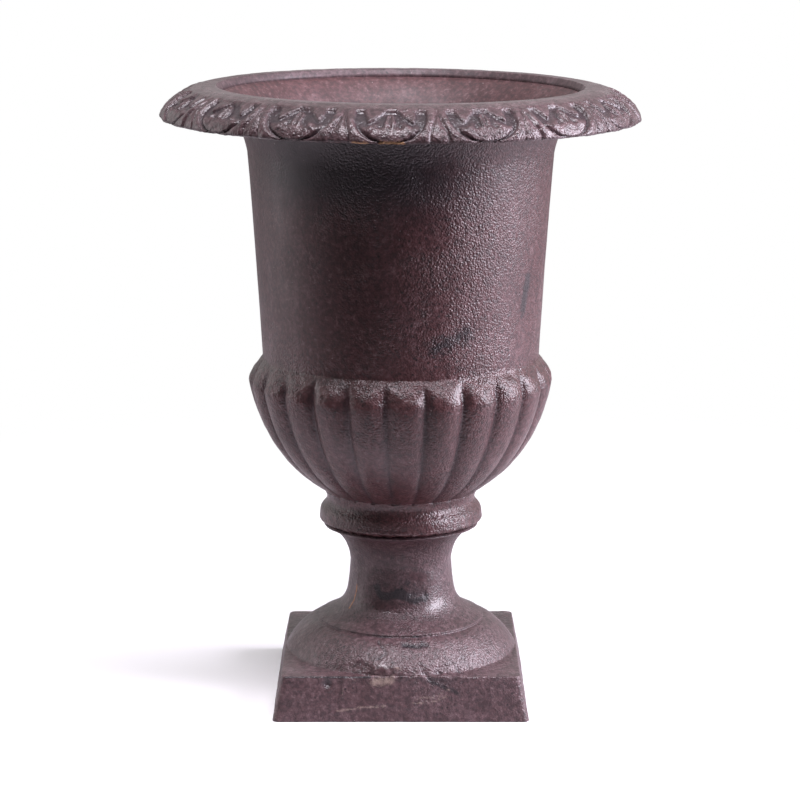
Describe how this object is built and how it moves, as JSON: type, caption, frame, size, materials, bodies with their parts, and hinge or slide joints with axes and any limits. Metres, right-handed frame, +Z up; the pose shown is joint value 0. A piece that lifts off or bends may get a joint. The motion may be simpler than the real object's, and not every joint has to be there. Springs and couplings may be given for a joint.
{
  "type": "urn planter",
  "caption": "Footed cast-iron garden urn: open bowl with rolled rim and gadrooned belly, bolted to a waisted pedestal foot on a square plinth.",
  "frame": {"origin": "centre of the plinth's ground face", "axes": "+Z up along the urn's axis, -Y towards the side that the picture shows, +X to its right"},
  "size_m": [0.3102, 0.3102, 0.402],
  "materials": {
    "bowl_iron": "sand-cast iron under satin rust-brown lacquer, with fine orange-peel grain",
    "foot_iron": "sand-cast iron under satin rust-brown lacquer, rougher on the dome, with drips and chips",
    "bolt_steel": "dull zinc plate",
    "washer_steel": "dull zinc plate",
    "nut_steel": "dull zinc plate"
  },
  "bodies": {
    "root": {"urn_bowl": "bowl_iron", "pedestal_foot": "foot_iron", "tie_bolt": "bolt_steel", "bowl_washer": "washer_steel", "foot_washer": "washer_steel", "hex_nut": "nut_steel"}
  },
  "joints": []
}
